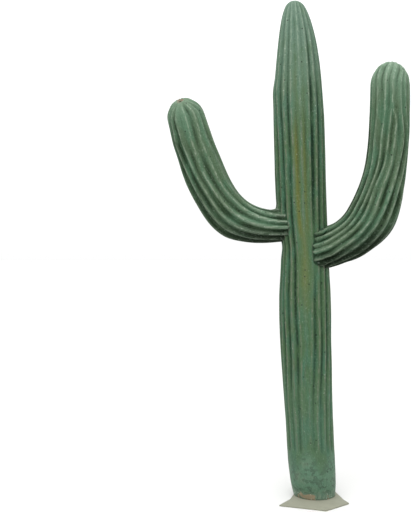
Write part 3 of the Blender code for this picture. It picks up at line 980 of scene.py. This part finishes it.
def buildPaint(look):
    # Glass-fibre moulding under brushed exterior acrylic: satin, dark where the wash pooled in the grooves,
    # which also serves as painted shade there, greyed where a dry brush caught the ridges, pitted with air
    # bubbles from the mould.
    # Painted shade also lies under the arms, round the ribs' ends and in the pinholes, and painted light on
    # the tips and the foot's rim.
    made, tree = newMaterial(look["name"])
    mark = {name: addNode(tree, "ShaderNodeAttribute", {}, attribute_name=name).outputs["Fac"]
            for name in ("groove", "crest", "tip", "olive", "under", "foot", "chip")}
    where = addNode(tree, "ShaderNodeAttribute", {}, attribute_name="unbent").outputs["Vector"]

    def grain(name):
        # a 0 to 1 mask of noise
        width, length, detail, offset, low, high = grains[name]
        spot = addNode(tree, "ShaderNodeMapping", {
            "Vector": where, "Location": (offset, offset, offset),
            "Scale": (1.0 / width, 1.0 / width, 1.0 / length)})
        marks = addNode(tree, "ShaderNodeTexNoise", {
            "Vector": spot.outputs[0], "Scale": 1.0, "Detail": detail, "Roughness": 0.55})
        return span(marks.outputs["Fac"], low, high)

    def span(value, low, high, top=1.0):
        return remap(tree, value, (low, high), (0.0, top), interpolation_type="SMOOTHSTEP")

    def times(a, b):
        return addNode(tree, "ShaderNodeMath", {0: a, 1: b}, operation="MULTIPLY", use_clamp=True).outputs[0]

    def dots(name):
        spacing, radius, offset = dotSizes[name]
        spot = addNode(tree, "ShaderNodeMapping", {"Vector": where, "Location": (offset, 0.0, offset)})
        cells = addNode(tree, "ShaderNodeTexVoronoi", {"Vector": spot.outputs[0], "Scale": 1.0 / spacing})
        return span(cells.outputs["Distance"], radius / spacing, 0.55 * radius / spacing)

    def cover(tone, factor, name):
        return mixColour(tree, factor, tone, colour(look[name]))

    # brushed ground colour with cooler patches about 200 mm long, and fine bristle streaks
    tone = mixColour(tree, grain("patches"), colour(look["mid"]), colour(look["cool"]))
    tone = cover(tone, times(grain("streaks"), look["streakCover"]), "deep")
    # paler tips, partly paler paint and partly painted light from above
    tone = cover(tone, times(mark["tip"], grain("tips")), "pale")
    # olive glaze that ran down the front panel
    tone = cover(tone, times(mark["olive"], grain("olive")), "olive")
    # dark wash that pooled in the grooves, which also serves as painted shade there; the same mark holds
    # painted shade round the ribs' ends and down a side of each arm
    grooveWashAndShade = times(span(mark["groove"], *look["washSpan"]), grain("grooveWashAndShade"))
    tone = cover(tone, times(grooveWashAndShade, look["washCover"]), "deep")
    # painted shade on the arms' undersides and in the pit at the left arm's tip
    tone = cover(tone, times(mark["under"], look["underCover"]), "under")
    # dry brush on the ridges, in broken lines about 9 mm wide; painted light makes it paler at the tips,
    # along with paler paint, and at the foot's rim, and painted shade makes it fainter on ridges that face
    # down
    broken = grain("dryBrush")
    dry = mixColour(tree, mark["tip"], colour(look["dry"]), colour(look["dryTip"]))
    tone = mixColour(tree, times(times(mark["crest"], broken), look["dryCover"]), tone, dry)
    # a thinner coat with ringed blotches on the smooth foot, and paint chipped off its rim
    tone = cover(tone, times(mark["foot"], look["footCover"]), "foot")
    blotches = grain("blotches")
    rings = combine(tree, "PINGPONG", blotches, 0.5)
    stains = combine(tree, "MULTIPLY_ADD", rings, look["ringCover"], times(blotches, look["blotchCover"]))
    tone = cover(tone, times(mark["foot"], stains), "blotch")
    dusty = grain("dust")
    tone = cover(tone, times(times(mark["foot"], dusty), look["dustCover"]), "dust")
    bare = combine(tree, "MULTIPLY", grain("chips"), mark["chip"])
    tone = cover(tone, span(bare, *look["chipSpan"]), "chip")
    # faint stipple over the whole skin, drawn coarser than the real 2 mm grains
    tone = cover(tone, times(grain("stipple"), look["stippleCover"]), "deep")
    tone = cover(tone, times(grain("specks"), look["speckCover"]), "speck")
    # air-bubble pinholes, painted dark as the shade inside them, and paler nicks, drawn a little larger than
    # the real 2 to 4 mm
    holes = dots("holes")
    tone = cover(tone, times(holes, look["holeCover"]), "holeShade")
    nicks = dots("nicks")
    tone = cover(tone, times(nicks, look["nickCover"]), "speck")
    # beads of dry paint along the ridges, most of them towards the tips
    beads = times(dots("beads"), mark["crest"])
    tone = cover(tone, times(beads, span(mark["tip"], -0.6, 1.0, look["beadCover"])), "bead")

    # low relief: brush ridges and the skin's orange peel, with sunk holes
    skin = grain("skin")
    skin = combine(tree, "MULTIPLY_ADD", holes, -look["holeSink"], skin)
    relief = addNode(tree, "ShaderNodeBump", {
        "Strength": look["reliefStrength"], "Distance": look["reliefHeight"], "Height": skin})
    rough = remap(tree, grain("roughness"), (0.0, 1.0), look["roughSpan"])
    # matt where the wash and the painted shade lie
    washAndPaintedShade = combine(tree, "MAXIMUM", mark["groove"], mark["under"])
    sheen = remap(tree, washAndPaintedShade, (0.0, 1.0), look["sheenSpan"])
    shader = addNode(tree, "ShaderNodeBsdfPrincipled", {
        "Base Color": tone, "Roughness": rough, "IOR": 1.49, "Specular IOR Level": sheen,
        "Normal": relief.outputs[0]})
    addNode(tree, "ShaderNodeOutputMaterial", {"Surface": shader.outputs[0]})
    return made


plateLook = {
    "paint": "#8f9080",
    "worn": "#838475",
    "edge": "#898a79",
    "cloudScale": 14.0,
    "wornSpan": (0.45, 0.75),
    "wornCover": 0.6,
    "edgeSpan": (1.5 * mm, 0.2 * mm),    # below the plate's top, over its rounded edge
    "edgeCover": 0.85,
    "gritScale": 320.0,
    "gritHeight": 0.0006,
    "roughness": 0.78,
}


def buildPlatePaint(look):
    # Cut steel plate under dusty matt grey floor paint, scuffed and a little darker along its cut edge.
    made, tree = newMaterial("dustyFloorPaintOnCutSteel")
    where = addNode(tree, "ShaderNodeTexCoord", {}).outputs["Object"]
    cloud = addNode(tree, "ShaderNodeTexNoise", {
        "Vector": where, "Scale": look["cloudScale"], "Detail": 5.0, "Roughness": 0.6})
    grit = addNode(tree, "ShaderNodeTexNoise", {"Vector": where, "Scale": look["gritScale"], "Detail": 2.0})
    worn = remap(tree, cloud.outputs["Fac"], look["wornSpan"], (0.0, look["wornCover"]))
    tone = mixColour(tree, worn, colour(look["paint"]), colour(look["worn"]))
    height = addNode(tree, "ShaderNodeSeparateXYZ", {"Vector": where}).outputs["Z"]
    edge = remap(tree, height, [plateTop - below for below in look["edgeSpan"]], (look["edgeCover"], 0.0))
    tone = mixColour(tree, edge, tone, colour(look["edge"]))
    relief = addNode(tree, "ShaderNodeBump", {
        "Strength": 0.4, "Distance": look["gritHeight"], "Height": grit.outputs["Fac"]})
    shader = addNode(tree, "ShaderNodeBsdfPrincipled", {
        "Base Color": tone, "Roughness": look["roughness"], "Specular IOR Level": 0.3,
        "Normal": relief.outputs[0]})
    addNode(tree, "ShaderNodeOutputMaterial", {"Surface": shader.outputs[0]})
    return made


trunkPiece.data.materials.append(buildPaint(trunkPaint))
armSkin = buildPaint(armPaint)
for piece in armPieces:
    piece.data.materials.append(armSkin)
platePiece.data.materials.append(buildPlatePaint(plateLook))

print("stage: riding on the frame")

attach(trunkPiece, body)
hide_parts("trunk")
for piece, arm in zip(armPieces, (leftArm, rightArm)):
    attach(piece, body)
    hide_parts(*arm["nodes"])
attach(platePiece, body)
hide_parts("base_plate")
